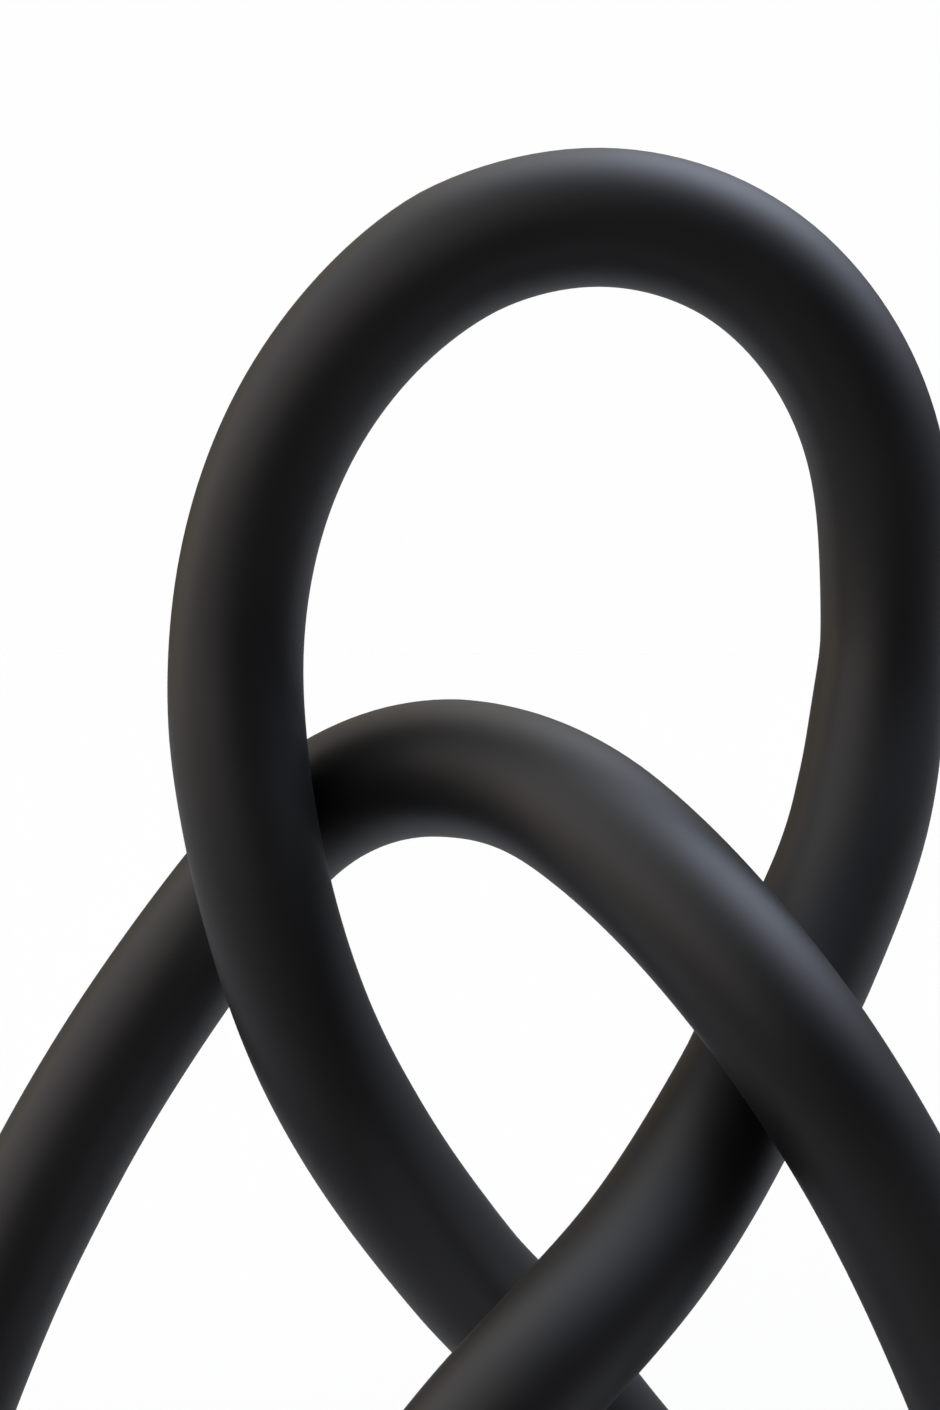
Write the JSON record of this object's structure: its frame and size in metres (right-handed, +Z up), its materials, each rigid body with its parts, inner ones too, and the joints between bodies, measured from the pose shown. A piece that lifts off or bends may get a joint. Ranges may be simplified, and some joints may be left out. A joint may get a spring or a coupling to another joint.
{
  "type": "knot sculpture",
  "caption": "Free-standing abstract ornament: a thick round satin-black resin strand tied in a trefoil knot, with an upright loop and two bent feet on felt pads.",
  "frame": {"origin": "on the table, under the middle of the knot's bounding box", "axes": "+X to the right as the picture shows it, +Y to the back, away from the camera, +Z up"},
  "size_m": [0.2516, 0.1401, 0.3],
  "materials": {
    "resin": "satin black lacquer",
    "dowel": "plain drawn rod",
    "felt": "pressed black felt"
  },
  "bodies": {
    "root": {"loop_casting": "resin", "left_foot_casting": "resin", "right_foot_casting": "resin", "arch_joint_front_dowel": "dowel", "arch_joint_rear_dowel": "dowel", "limb_joint_front_dowel": "dowel", "limb_joint_rear_dowel": "dowel", "back_joint_front_dowel": "dowel", "back_joint_rear_dowel": "dowel", "left_foot_front_pad": "felt", "left_foot_rear_pad": "felt", "right_foot_front_pad": "felt", "right_foot_rear_pad": "felt"}
  },
  "joints": []
}
